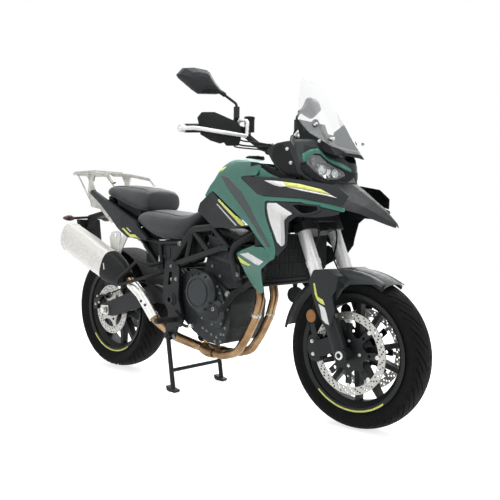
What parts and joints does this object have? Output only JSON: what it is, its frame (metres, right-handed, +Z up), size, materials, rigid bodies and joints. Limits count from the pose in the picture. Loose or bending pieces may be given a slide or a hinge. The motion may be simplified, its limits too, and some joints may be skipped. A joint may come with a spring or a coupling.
{
  "type": "adventure touring motorcycle",
  "caption": "Solo adventure touring motorcycle with a trellis frame, parallel twin engine, cast wheels, screen, luggage rack and a single silencer, parked on its centre stand.",
  "frame": {"origin": "mid-length on the ground, on the motorcycle's centre plane", "axes": "+X forward to the front wheel, +Y to the rider's left, +Z up"},
  "size_m": [2.195, 0.944, 1.405],
  "materials": {
    "green_satin": "satin",
    "white_gloss": "glossy",
    "dark_plastic": "matte",
    "grey_plastic": "satin",
    "clear": "clear",
    "black_metal": "satin",
    "engine_grey": "cast",
    "silver": "satin",
    "silencer_steel": "satin",
    "bronze_steel": "heat tinted",
    "disc_steel": "ground",
    "tyre": "matte",
    "seat_cover": "matte",
    "lamp_red": "glossy",
    "chain_steel": "oiled"
  },
  "bodies": {
    "chassis": {"airbox": "dark_plastic", "beak": "grey_plastic", "chain": "chain_steel", "engine": "engine_grey", "engine_covers": "grey_plastic", "exhaust_pipes": "bronze_steel", "foot_controls": "silver", "frame": "black_metal", "fuel_tank": "green_satin", "headlamp": "clear", "heat_shield": "silver", "hugger": "dark_plastic", "knee_panels": "grey_plastic", "nose_cowl": "dark_plastic", "pillion_seat": "seat_cover", "rack": "silver", "radiator": "black_metal", "rear_caliper": "silver", "rider_seat": "seat_cover", "screen_bracket": "dark_plastic", "shock": "silver", "side_panels": "green_satin", "silencer": "silencer_steel", "silencer_cover": "dark_plastic", "strakes": "dark_plastic", "swing_arm": "black_metal", "tail_lamp": "lamp_red", "tail_panels": "dark_plastic", "windscreen": "clear", "winglets": "white_gloss"},
    "steering": {"yokes": "black_metal", "fork": "silver", "front_fender": "grey_plastic", "handlebar": "black_metal", "controls": "dark_plastic", "hand_guards": "dark_plastic", "mirrors": "dark_plastic", "front_calipers": "black_metal"},
    "front_wheel": {"front_tyre": "tyre", "front_rim": "black_metal", "front_discs": "disc_steel"},
    "rear_wheel": {"rear_tyre": "tyre", "rear_rim": "black_metal", "rear_disc": "disc_steel", "rear_sprocket": "disc_steel"},
    "centre_stand": {"centre_stand": "black_metal"},
    "side_stand": {"side_stand": "black_metal"}
  },
  "joints": [
    {"name": "steering", "type": "hinge", "parent": "chassis", "child": "steering", "pos_m": [0.5141, 0, 0.9], "axis": [-0.3746, 0, 0.9272], "range_deg": [-32, 32]},
    {"name": "front_axle", "type": "hinge", "parent": "steering", "child": "front_wheel", "pos_m": [0.7975, 0, 0.3], "axis": [0, 1, 0], "continuous": true},
    {"name": "rear_axle", "type": "hinge", "parent": "chassis", "child": "rear_wheel", "pos_m": [-0.7075, 0, 0.324], "axis": [0, 1, 0], "continuous": true},
    {"name": "centre_stand", "type": "hinge", "parent": "chassis", "child": "centre_stand", "pos_m": [-0.1495, 0, 0.262], "axis": [0, 1, 0], "range_deg": [0, 78]},
    {"name": "side_stand", "type": "hinge", "parent": "chassis", "child": "side_stand", "pos_m": [-0.0075, 0.166, 0.268], "axis": [0.07, -0.8929, -0.4447], "range_deg": [0, 80]}
  ]
}
